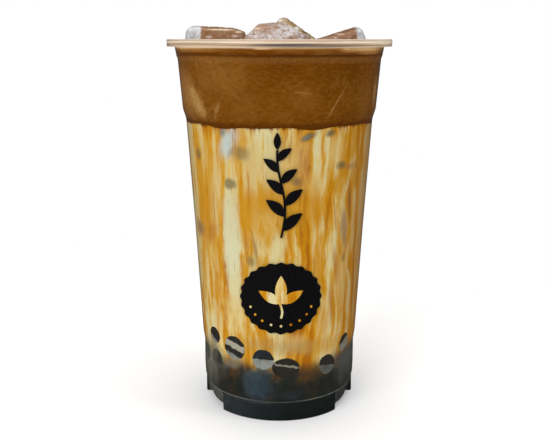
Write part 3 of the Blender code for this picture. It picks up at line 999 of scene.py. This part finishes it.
def foam_material():
    s = Shader("foam")
    wall, arc, z = s.wall_place()
    spot = s.place()
    broad = s.wisps(wall, 0.10, 0.10, 4.0, 0.65)
    grain = s.wisps(spot, 1.0, 0.6, 4.0, 0.7)
    speck = s.noise(spot, 2.4, 2.0, 0.6)
    # Painted shade: the foam darkens toward the right
    to_right, _, _ = s.separate(wall)
    value = s.weighed((broad, 0.52), (grain, 0.30), (speck, 0.18), (to_right, -0.0011))
    colour = s.ramp(
        s.spread(value, 0.39, 0.62),
        ((0.0, COCOA_DARK), (0.36, COCOA), (0.60, COCOA), (1.0, COCOA_LIGHT)),
    )
    ragged = s.sway(grain, 2.0)
    colour = paint_marks(s, colour, FOAM_MARKS, arc, z, ragged)
    mottle = s.wisps(wall, 0.5, 0.9, 4.0, 0.7)
    colour = s.mix(s.fade(mottle, 0.46, 0.68, 0.35), colour, COCOA_LIGHT)
    colour = s.mix(s.fade(mottle, 0.54, 0.34, 0.4), colour, COCOA_DARK)
    # Painted shade: a dark band along the foam's foot, where the wall steps in
    low = s.sway(grain, 3.0, z)
    colour = s.mix(s.fade(low, 128.6, 126.4, 0.85), colour, FOAM_SHADE)
    # Painted light under the rim, where the foam is seen through the sloping wall: painted shade
    # at the foot of the collar, lighter upward, with painted highlights
    collar = s.ramp(
        s.spread(z, 153.0, 156.6),
        (
            (0.00, FOAM_SHADE),
            (0.20, srgb(92, 48, 2)),
            (0.45, srgb(106, 57, 3)),
            (0.75, srgb(116, 67, 12)),
            (1.00, srgb(130, 82, 30)),
        ),
    )
    patch = s.wisps(wall, 0.10, 0.25, 3.0, 0.6)
    collar = s.mix(s.spread(patch, 0.5, 0.75, 0.0, 0.3), collar, FOAM_AMBER)
    uneven = s.sway(patch, 1.6)
    collar = paint_marks(s, collar, COLLAR_MARKS, arc, z, uneven)
    colour = s.mix(s.spread(z, 152.9, 153.5), colour, collar)
    # Painted shade: a dark line at the height of the wall's bead, strongest just right of the
    # front
    ahead = s.spread(s.math("ABSOLUTE", s.minus(arc, 10.0)), 34.0, 12.0, 0.35, 0.9)
    bead_shade_line = s.times(s.line(z, 153.2, 0.45), ahead)
    colour = s.mix(bead_shade_line, colour, srgb(72, 34, 0))
    x, y, _ = s.separate(spot)
    wall_radius = cavity_radius(FOAM_TOP)
    inner = s.spread(s.from_axis(x, y), wall_radius - 0.2, wall_radius - 2.0)
    above = s.times(inner, s.spread(z, FOAM_TOP - 6.0, FOAM_TOP - 4.0))
    top = s.ramp(grain, ((0.3, COCOA_LIGHT), (0.6, FOAM_TOP_BROWN), (0.8, FOAM_BEIGE)))
    colour = s.mix(above, colour, top)
    return s.show(s.principled(colour, 0.6, 0.0, s.bump(grain, 0.12, 0.0003)))


def pearl_material():
    """Dark tapioca with painted highlight bands and a pale lower part, partly milk and partly
    painted reflection.
    """
    s = Shader("tapioca_pearls")
    spot = s.place()
    cloud = s.noise(spot, 0.30, 3.0, 0.6)
    # Random dark tone, with the bluish sheen of the pearls painted in
    dark = s.ramp(cloud, ((0.35, SYRUP_BLACK), (0.60, srgb(36, 40, 42)), (0.75, BLUE_SHEEN)))
    across, along, sunk = s.separate(s.attribute("band_place"))
    middle, half, strength = s.separate(s.attribute("highlight_band_look"))
    edge, milk_and_reflection_share, brown = s.separate(s.attribute("half_look"))
    along = s.sway(s.noise(spot, 0.5, 0.0), 0.3, along)
    off = s.math("ABSOLUTE", s.minus(along, middle))
    # Painted highlight: a pale band across the pearl
    highlight_band = s.fade(s.math("DIVIDE", off, half), 1.2, 0.8)
    side = s.fade(s.math("ABSOLUTE", across), 1.0, 0.8)
    highlight_band = s.times(s.times(highlight_band, side), strength)
    # The pale lower part: partly a film of milk, partly a painted reflection of the bright floor
    below = s.fade(s.minus(edge, along), -0.06, 0.10)
    pale = s.ramp(cloud, ((0.35, srgb(124, 124, 112)), (0.6, srgb(146, 154, 148))))
    colour = s.mix(brown, dark, srgb(46, 34, 20))
    colour = s.mix(s.times(below, milk_and_reflection_share), colour, pale)
    colour = s.mix(highlight_band, colour, srgb(168, 162, 144))
    wall, arc, z = s.wall_place()
    depth, wisp = syrup_depth(s, wall, arc, z)
    shade = s.mix(0.22, syrup_tint(s, wall, arc, z, depth, wisp), srgb(14, 16, 15))
    colour = s.mix(sunk, colour, shade)
    return s.show(s.principled(colour, s.spread(cloud, 0.3, 0.7, 0.3, 0.5), 0.03))


# Millimetres to a pixel of the photo at the ice, and the pixel row across the ice's middle
ICE_PIXEL = 0.41
ICE_ROW = 33
ICE_INDEX = 1.31


def ice_material(name, look):
    """Wet ice with a film of foam on most of it and fine white crinkles of frost with painted
    glints.
    """
    s = Shader(name)
    spot = s.place()
    x, _, z = s.separate(spot)
    patch = s.noise(spot, 0.22, 3.0, 0.6)
    grain = s.noise(spot, 0.9, 3.0, 0.6)
    dark, light, frost = look["tints"]
    colour = s.ramp(grain, ((0.32, dark), (0.66, light)))
    zone = s.fade(patch, *look["frost_patch"])
    ragged = s.sway(grain, 1.6)

    def mark_at(place, half):
        size = [max(0.3, side * ICE_PIXEL) for side in half]
        return s.blot(x, z, on_plane(*place, look["depth"]), size, 0.0, 0.6, ragged)

    for place, half in look["crinkled"]:
        zone = s.larger(zone, mark_at(place, half))
    fine = s.crinkle(s.stretched(spot, 0.8, 0.8, 1.7), 0.55, 0.045)
    coarse = s.crinkle(s.stretched(spot, 0.45, 0.45, 0.8), 0.6, 0.05)
    lines = s.larger(s.larger(fine, s.fade(grain, 0.60, 0.68, 0.7)), coarse)
    colour = s.mix(s.times(zone, lines), colour, frost)
    # Marks placed by pixel: mostly painted highlights, one a painted dark outline
    for tint, place, half, strength in look["marks"]:
        colour = s.stain(colour, tint, mark_at(place, half), strength)
    share = s.fade(patch, 0.40, 0.60, 0.85, 1.0)
    if "bare_end" in look:
        start, end = (on_plane(u, ICE_ROW, look["depth"])[0] for u in look["bare_end"])
        coated = s.fade(s.sway(grain, 2.0, x), start, end)
        share = s.times(share, s.spread(coated, 0.0, 1.0, 0.78, 1.0))
        pale = s.mix(s.times(lines, 0.6), srgb(240, 242, 244), srgb(164, 168, 178))
        colour = s.mix(coated, pale, colour)
    rough = s.spread(grain, 0.3, 0.7, 0.15, 0.4)
    film = s.principled(colour, rough, 0.4, s.bump(grain, 0.35, 0.0005))
    wet = s.bump(grain, 0.5, 0.0008)
    bare = s.principled((0.97, 0.97, 0.99, 1.0), 0.08, 0.5, wet, index=ICE_INDEX)
    return s.show(s.blend(share, bare, film))


# Frost tints, also used for painted highlights on the ice
FROST = srgb(238, 236, 234)
PINK_FROST = srgb(220, 206, 196)
WARM_LIGHT = srgb(232, 212, 184)

# Each block's look: tints, where crinkles gather, depth of the face seen, marks by pixel, bare
# end.
# The marks are mostly painted highlights, with one painted dark outline and one tinted strip.
ICE_LOOKS = {
    "ice_left": {
        "tints": (srgb(140, 100, 66), srgb(160, 120, 86), PINK_FROST),
        "frost_patch": (0.58, 0.72),
        "depth": -10.0,
        "crinkled": (),
        "marks": (
            (FROST, (198, 32), (2.2, 7), 0.7),
            (WARM_LIGHT, (221, 29.5), (11, 0.8), 0.95),
            (WARM_LIGHT, (238, 32), (3, 1.0), 0.8),
            (PINK_FROST, (209, 37), (3, 1.3), 0.7),
            (PINK_FROST, (235, 36), (3, 1.3), 0.7),
        ),
        "bare_end": (199.0, 202.0),
    },
    "ice_front": {
        "tints": (srgb(140, 104, 80), srgb(172, 148, 132), srgb(208, 204, 204)),
        "frost_patch": (0.44, 0.62),
        "depth": -28.0,
        "crinkled": (
            ((252, 34), (7, 4)),
            ((287, 31), (13, 6)),
            ((272, 37), (20, 3)),
            ((303, 34), (6, 4)),
        ),
        "marks": (
            (srgb(164, 122, 96), (264, 27), (14, 2.5), 0.7),
            (WARM_LIGHT, (256, 28.5), (4, 0.8), 0.6),
        ),
    },
    "ice_back": {
        "tints": (srgb(132, 100, 52), srgb(172, 142, 96), WARM_LIGHT),
        "frost_patch": (0.40, 0.60),
        "depth": 10.0,
        "crinkled": (((280, 21), (6, 3)),),
        "marks": (
            (FROST, (279, 20), (4, 1.4), 0.6),
            (FROST, (297, 28), (2.5, 1.5), 0.9),
            # Painted shade: a dark outline near the block's edge
            (srgb(110, 84, 36), (306, 33), (3, 6), 0.7),
        ),
    },
    "ice_right": {
        "tints": (srgb(130, 90, 58), srgb(152, 110, 78), PINK_FROST),
        "frost_patch": (0.60, 0.74),
        "depth": -12.0,
        "crinkled": (((362, 32), (5, 6)),),
        "marks": (
            (WARM_LIGHT, (340, 34), (4, 1.0), 0.4),
        ),
        "bare_end": (359.0, 356.0),
    },
}


# ---- Ice and pearls ----


# How far the ice has melted back, and the size of its faces
MELT = -0.35
VOXEL = 0.6
# Lines in the photo that cap a block's top: (block, start, end, depth they lie at)
SLOPES = (
    ("ice_front", (287, 24.8), (316, 40.0), -26.0),
    ("ice_front", (244.5, 37.0), (257, 25.5), -26.0),
    ("ice_left", (229, 26.4), (247, 33.0), -10.0),
)


def make_ice():
    """Each block of the frame, remeshed fine and melted to an uneven, dimpled surface."""
    slopes = []
    for node, start, end, depth in SLOPES:
        start, end = on_plane(*start, depth), on_plane(*end, depth)
        slopes.append((node, start, (end[1] - start[1]) / (end[0] - start[0])))
    for node, look in ICE_LOOKS.items():
        mesh = bpy.data.meshes.new_from_object(bpy.data.objects[node])
        piece = bpy.data.objects.new(node + "_melted", mesh)
        bpy.context.scene.collection.objects.link(piece)
        remesh = piece.modifiers.new("even", "REMESH")
        remesh.mode = "VOXEL"
        remesh.voxel_size = VOXEL * MM
        smooth = piece.modifiers.new("melt", "SMOOTH")
        smooth.iterations = 6
        graph = bpy.context.evaluated_depsgraph_get()
        made = bpy.data.meshes.new_from_object(piece.evaluated_get(graph))
        piece.modifiers.clear()
        piece.data = made
        for vertex in made.vertices:
            normal = vertex.normal
            broad = noise.noise(vertex.co * 1000 * 0.12) * 0.5
            dimples = noise.fractal(vertex.co * 1000 * 0.42, 0.9, 2.1, 3) * 0.25
            place = vertex.co + normal * (MELT + broad + dimples) * MM
            for block, start, fall in slopes:
                limit = start[1] + fall * (place.x / MM - start[0]) + dimples
                if block == node:
                    place.z = min(place.z, limit * MM)
            vertex.co = place
        finish_piece(piece, ice_material(node + "_look", look), node)


# The highest pearls, as in the solids: angle from the front and depth under the heap's top
TOP_PEARLS = (
    (-62, 0.1),
    (-38, 0.5),
    (-13, 1.1),
    (9, 4.4),
    (38, 2.5),
    (64, 0.3),
    (91, 1.9),
    (116, 0.2),
    (147, 2.4),
    (174, 0.6),
    (-153, 1.8),
    (-125, 0.3),
    (-94, 1.6),
)
PEARL_ROWS = 3
PEARLS_IN_ROW = 20
ROW_PITCH = 7.5
PEARL_SEED = 12


def pearl_places():
    """(angle from +X, height, radius) of each pearl, by the same rule as in the solids."""
    draw = random.Random(PEARL_SEED)
    places = []

    def spot(angle, height, radius):
        room = cavity_radius(height)
        if height < FOOT_TOP + PEARL_RADIUS:
            room = recess_radius(height - 0.2 * PEARL_RADIUS) - WALL
        reach = room - GAP - radius
        return Vector((reach * math.cos(angle), reach * math.sin(angle), height))

    def add(angle, height, radius):
        centre = spot(angle, height, radius)
        if all((centre - other).length > 0.88 * (radius + size) for other, size in places):
            places.append((centre, radius))

    for degrees, depth in TOP_PEARLS:
        angle = math.radians(-90 + degrees)
        x, y = FOOT_RADIUS * math.cos(angle), FOOT_RADIUS * math.sin(angle)
        add(angle, heap_top(x, y) - PEARL_RADIUS - depth, PEARL_RADIUS)
    for row in range(PEARL_ROWS):
        for i in range(PEARLS_IN_ROW):
            angle = math.tau * (i + 0.5 * (row % 2) + draw.uniform(-0.03, 0.03)) / PEARLS_IN_ROW
            height = FLOOR_TOP + GAP + PEARL_RADIUS + row * ROW_PITCH + draw.uniform(0, 0.5)
            add(angle, height, PEARL_RADIUS * draw.uniform(0.94, 1.0))
    return places


# How far a pearl is pushed at the wall, and how far its flat then stands out of the syrup
PRESS = 3.1
STAND_PROUD = 0.12
# From this height down, over this fall, pearls sink into the colour of the syrup
SUNK_TOP = 25.5
SUNK_FALL = 5.0
LOOK_SEED = 3
# The pearls at the front: (place by pixel, width, height, tilt, painted highlight band's middle,
# half width and strength, edge and strength of the pale lower part, brown). The pale lower part
# is partly a film of milk and partly a painted reflection.
FRONT_PEARLS = {
    0: ((214.3, 334.7), 0.94, 0.95, 30, -0.6, 0.25, 0.3, -0.35, 0.35, 0.4),
    1: ((233.6, 347.6), 1.32, 1.42, 15, 0.14, 0.24, 0.85, -0.55, 0.75, 0.4),
    2: ((262.8, 359.5), 1.15, 1.20, 2, 0.0, 0.2, 0.0, 0.0, 0.85, 0.0),
    3: ((286.0, 368.5), 1.40, 1.22, 14, 0.18, 0.09, 0.50, -2.0, 0.0, 0.4),
    4: ((327.5, 364), 1.05, 1.15, 6, 0.0, 0.2, 0.0, -0.05, 0.28, 0.4),
    5: ((344.5, 341), 0.95, 1.05, -26, -0.3, 0.45, 0.4, -0.5, 0.3, 0.6),
}


def make_pearls(material):
    """Soft pearls pressed flat against the wall where they touch it."""
    verts, faces, places, looks, halves = [], [], [], [], []
    ball = bmesh.new()
    bmesh.ops.create_icosphere(ball, subdivisions=4, radius=1.0)
    unit = [v.co.copy() for v in ball.verts]
    triangles = [[v.index for v in f.verts] for f in ball.faces]
    ball.free()
    draw = random.Random(LOOK_SEED)
    for number, (centre, radius) in enumerate(pearl_places()):
        first = len(verts)
        sunk = min(1.0, max(0.0, (SUNK_TOP - centre.z) / SUNK_FALL))
        look = (1.0, 1.1, draw.uniform(-30, 30), draw.uniform(-0.3, 0.3), draw.uniform(0.1, 0.2))
        look += (draw.uniform(-0.6, 0.6), draw.uniform(-0.6, -0.1), 0.4, 0.3)
        if number in FRONT_PEARLS:
            pixel, *look = FRONT_PEARLS[number]
            sunk = 0.0
            angle, height = on_wall(*pixel)
            reach = math.hypot(centre.x, centre.y)
            centre = wall_point(angle, height, reach)
        wide, tall, tilt, highlight_band, half, strength, edge, pale, brown = look
        out = Vector((centre.x, centre.y, 0)).normalized()
        across = Vector((-out.y, out.x, 0))
        middle = centre + out * PRESS
        turn = Matrix.Rotation(math.radians(tilt), 2)
        for co in unit:
            swell = 1 + 0.06 * noise.noise(co * 1.7 + centre)
            side = co.dot(across)
            shape = co + across * side * (wide - 1) + Vector((0, 0, co.z * (tall - 1)))
            point = middle + shape * radius * swell
            local = turn @ Vector((side, co.z))
            reach = math.hypot(point.x, point.y)
            limit = cavity_radius(point.z) + INTO_WALL + STAND_PROUD
            limit -= recess_depth(math.atan2(point.y, point.x), point.z, WALL)
            if reach > limit:
                point.x *= limit / reach
                point.y *= limit / reach
            verts.append(tuple(point))
            places += [local.x, local.y, sunk]
            looks += [highlight_band, half, max(0.0, strength) * (1 - sunk)]
            halves += [edge, pale * (1 - sunk), brown]
        faces += [[first + i for i in t] for t in triangles]
    piece = add_piece("pearl_balls", verts, faces, material, "pearls")
    for name, values in (("band_place", places), ("highlight_band_look", looks), ("half_look", halves)):
        layer = piece.data.attributes.new(name, "FLOAT_VECTOR", "POINT")
        layer.data.foreach_set("vector", values)


# ---- Print on the wall ----

# How far the print goes into the wall, how far it stands out, and how far the leaves that
# show through the seal stand out over it
INK_DEPTH = 0.03
INK_HEIGHT = 0.05
CLEAR_HEIGHT = 0.04
STEM_WIDTH = 0.9
STEM_STEPS = 24
# Pixel column of the print's middle line, and pixel rows of its places
PRINT_MIDDLE = 281
SPRIG_TIP_ROW = 150
SPRIG_FOOT_ROW = 238
SEAL_ROW = 299


def wall_patch(grid, closed, low, high):
    """A thin closed plate on the wall. grid holds rows of (arc, height) places."""
    verts, faces = [], []
    rows, columns = len(grid), len(grid[0])
    for lift in (low, high):
        for row in grid:
            for arc, height in row:
                radius = outer_radius(height)
                verts.append(tuple(wall_point(arc / radius, height, radius + lift)))
    top = rows * columns
    span = columns if closed else columns - 1
    for r in range(rows - 1):
        for c in range(span):
            d = (c + 1) % columns
            a, b = r * columns + c, r * columns + d
            e, f = b + columns, a + columns
            faces.append((top + a, top + b, top + e, top + f))
            faces.append((f, e, b, a))
    edges = []
    for flipped, first in enumerate((0, (rows - 1) * columns)):
        edges += [(first + c, first + (c + 1) % columns, flipped) for c in range(span)]
    if not closed:
        for c, flipped in ((0, 1), (columns - 1, 0)):
            edges += [(r * columns + c, (r + 1) * columns + c, flipped) for r in range(rows - 1)]
    for a, b, flipped in edges:
        faces.append((b, a, top + a, top + b) if flipped else (a, b, top + b, top + a))
    return verts, faces


def leaf_grid(start, angle, length, width, bend=0.0, rows=9, columns=15):
    """Rows of places across a pointed leaf that grows from a start at an angle in degrees."""
    turn = math.radians(angle)
    grid = []
    for r in range(rows):
        side = 2 * r / (rows - 1) - 1
        row = []
        for c in range(columns):
            t = c / (columns - 1)
            half = width / 2 * max(0.03, math.sin(math.pi * t) ** 0.8 * (1.15 - 0.3 * t))
            along = length * t
            off = side * half + bend * math.sin(math.pi * t)
            x = start[0] + along * math.cos(turn) - off * math.sin(turn)
            row.append((x, start[1] + along * math.sin(turn) + off * math.cos(turn)))
        grid.append(row)
    return grid


def stem_grid(points, width):
    """A strip of even width along a line of places."""
    sides = ([], [])
    for i, (x, y) in enumerate(points):
        before, after = points[max(0, i - 1)], points[min(len(points) - 1, i + 1)]
        way = Vector((after[0] - before[0], after[1] - before[1])).normalized()
        for side, k in zip(sides, (-1, 1)):
            side.append((x - way.y * width / 2 * k, y + way.x * width / 2 * k))
    return list(sides)


def disc_grid(middle, half_width, half_height, rings, columns, lobes=0, depth=0.0):
    """Rings of places out to an ellipse, whose edge may be scalloped."""
    grid = []
    for r in range(rings):
        share = 0.02 + 0.98 * r / (rings - 1)
        row = []
        for c in range(columns):
            a = math.tau * c / columns
            edge = 1 + depth * math.cos(lobes * a) * share**6
            x = middle[0] + half_width * share * edge * math.cos(a)
            row.append((x, middle[1] + half_height * share * edge * math.sin(a)))
        grid.append(row)
    return grid


def join_patches(name, patches, material):
    """One piece of many plates, with every face turned outward."""
    verts, faces = [], []
    for more, own in patches:
        faces += [[len(verts) + i for i in face] for face in own]
        verts += more
    piece = add_piece(name, verts, faces, material)
    shape = bmesh.new()
    shape.from_mesh(piece.data)
    bmesh.ops.recalc_face_normals(shape, faces=shape.faces)
    shape.to_mesh(piece.data)
    shape.free()


def sprig(base, height, lean, leaf, pairs):
    """The grids of an upright sprig's stem and leaves."""
    points = []
    for i in range(STEM_STEPS + 1):
        t = i / STEM_STEPS
        points.append((base[0] + lean * math.sin(t * math.tau * 0.8), base[1] + height * t))
    grids = [stem_grid(points, STEM_WIDTH)]
    for k in range(pairs):
        t = 0.10 + 0.78 * k / (pairs - 1)
        at = points[round(STEM_STEPS * t)]
        size = leaf * (1.0 - 0.35 * t)
        side = 1 if k % 2 == 0 else -1
        grids.append(leaf_grid(at, 90 - side * 48, size, size * 0.42, side * 0.5))
    return grids + [leaf_grid(points[-1], 90, leaf * 0.62, leaf * 0.26)]


def make_print(ink, drink):
    """A climbing sprig and, under it, a scalloped seal with three leaves left clear of ink."""

    def on_print(v):
        """(arc, height) of a pixel row on the print's middle line."""
        angle, height = on_wall(PRINT_MIDDLE, v)
        return angle * outer_radius(height), height

    seal, foot, tip = (on_print(v) for v in (SEAL_ROW, SPRIG_FOOT_ROW, SPRIG_TIP_ROW))
    grids = sprig(foot, tip[1] - foot[1], 1.6, 11.0, 7)
    plates = [wall_patch(grid, False, -INK_DEPTH, INK_HEIGHT) for grid in grids]
    join_patches("printed_sprig", plates, ink)
    disc = disc_grid(seal, 17.3, 15.4, 14, 144, 24, 0.022)
    join_patches("printed_seal", [wall_patch(disc, True, -INK_DEPTH, INK_HEIGHT)], ink)
    base = (seal[0], seal[1] - 8.5)
    top = (base[0], base[1] + 6.5)
    stalk = [(base[0] + 0.5 * math.sin(i / 3), base[1] + 6.5 * i / 12) for i in range(13)]
    clear = [(stem_grid(stalk, STEM_WIDTH), False)]
    for degrees, length in ((90, 12.0), (150, 10.5), (30, 10.5)):
        clear.append((leaf_grid(top, degrees, length, length * 0.40), False))
    for i in range(9):
        a = math.radians(200 + 140 * i / 8)
        spot = (seal[0] + 13.6 * math.cos(a), seal[1] + 12.0 * math.sin(a))
        clear.append((disc_grid(spot, 0.55, 0.55, 3, 14), True))
    plates = [wall_patch(*grid, INK_HEIGHT, INK_HEIGHT + CLEAR_HEIGHT) for grid in clear]
    join_patches("seal_leaves", plates, drink)


def ink_material():
    """Black ink with a little wear."""
    s = Shader("black_ink")
    spot = s.place()
    wear = s.noise(spot, 1.4, 3.0, 0.6)
    colour = s.ramp(wear, ((0.3, INK), (0.7, srgb(16, 14, 16))))
    return s.show(s.principled(colour, s.spread(wear, 0.3, 0.7, 0.3, 0.5), 0.2))


# ---- Camera, light and floor ----

FLOOR_DROP = 0.2


def make_camera():
    camera = bpy.data.objects.new("camera", bpy.data.cameras.new("camera"))
    bpy.context.scene.collection.objects.link(camera)
    camera.data.sensor_width = SENSOR
    camera.data.lens = CAMERA_LENS
    camera.data.clip_start = 0.01
    camera.location = Vector(CAMERA_PLACE) * MM
    camera.rotation_euler = (math.pi / 2 - CAMERA_PITCH, 0, 0)
    bpy.context.scene.camera = camera


def make_light(name, place, size, power, target=(0, 0, 0.09)):
    lamp = bpy.data.lights.new(name, "AREA")
    lamp.shape = "RECTANGLE"
    lamp.size, lamp.size_y = size
    lamp.energy = power
    obj = bpy.data.objects.new(name, lamp)
    bpy.context.scene.collection.objects.link(obj)
    obj.location = place
    obj.rotation_euler = (Vector(target) - Vector(place)).to_track_quat("-Z", "Y").to_euler()


def make_world():
    """A white room. Its light and its reflections are weaker than its white looks."""
    world = bpy.data.worlds.new("studio")
    bpy.context.scene.world = world
    world.use_nodes = True
    tree = world.node_tree
    tree.nodes.clear()
    rays = tree.nodes.new("ShaderNodeLightPath")
    output = tree.nodes.new("ShaderNodeOutputWorld")

    def background(strength):
        node = tree.nodes.new("ShaderNodeBackground")
        node.inputs[0].default_value = (1, 1, 1, 1)
        node.inputs[1].default_value = strength
        return node.outputs[0]

    def switch(ray, otherwise, when):
        node = tree.nodes.new("ShaderNodeMixShader")
        tree.links.new(rays.outputs[ray], node.inputs[0])
        tree.links.new(otherwise, node.inputs[1])
        tree.links.new(when, node.inputs[2])
        return node.outputs[0]

    shown = switch("Is Glossy Ray", background(1.0), background(0.05))
    shown = switch("Is Diffuse Ray", shown, background(0.64))
    tree.links.new(shown, output.inputs[0])


def make_floor():
    """A pale floor that fades into the white room a little way from the cup."""
    s = Shader("pale_floor")
    x, y, _ = s.separate(s.place())
    body = s.principled((0.95, 0.95, 0.95, 1.0), 0.8, 0.1)
    clear = s.node("ShaderNodeBsdfTransparent").outputs[0]
    material = s.show(s.blend(s.fade(s.from_axis(x, y), 60.0, 260.0), body, clear))
    mesh = bpy.data.meshes.new("floor")
    corners = [(x, y, 0) for x, y in ((-1, -1), (1, -1), (1, 1), (-1, 1))]
    mesh.from_pydata(corners, [], [(0, 1, 2, 3)])
    floor = bpy.data.objects.new("floor", mesh)
    floor.location.z = -FLOOR_DROP * MM
    floor.visible_glossy = False
    bpy.context.scene.collection.objects.link(floor)
    mesh.materials.append(material)


make_camera()
make_world()
make_floor()
make_light("front", (-0.65, -1.0, 0.65), (0.9, 0.9), 9.4)
make_light("top", (0.0, 0.15, 1.2), (1.0, 1.0), 5.6)
make_light("side", (0.9, -0.3, 0.6), (0.3, 0.9), 2.3)
milk = milk_material()
make_cup(clear_plastic())
make_foam(foam_material())
make_milk(milk)
make_syrup(syrup_material())
make_pearls(pearl_material())
make_ice()
make_print(ink_material(), milk)
bpy.context.scene.view_settings.view_transform = "Standard"
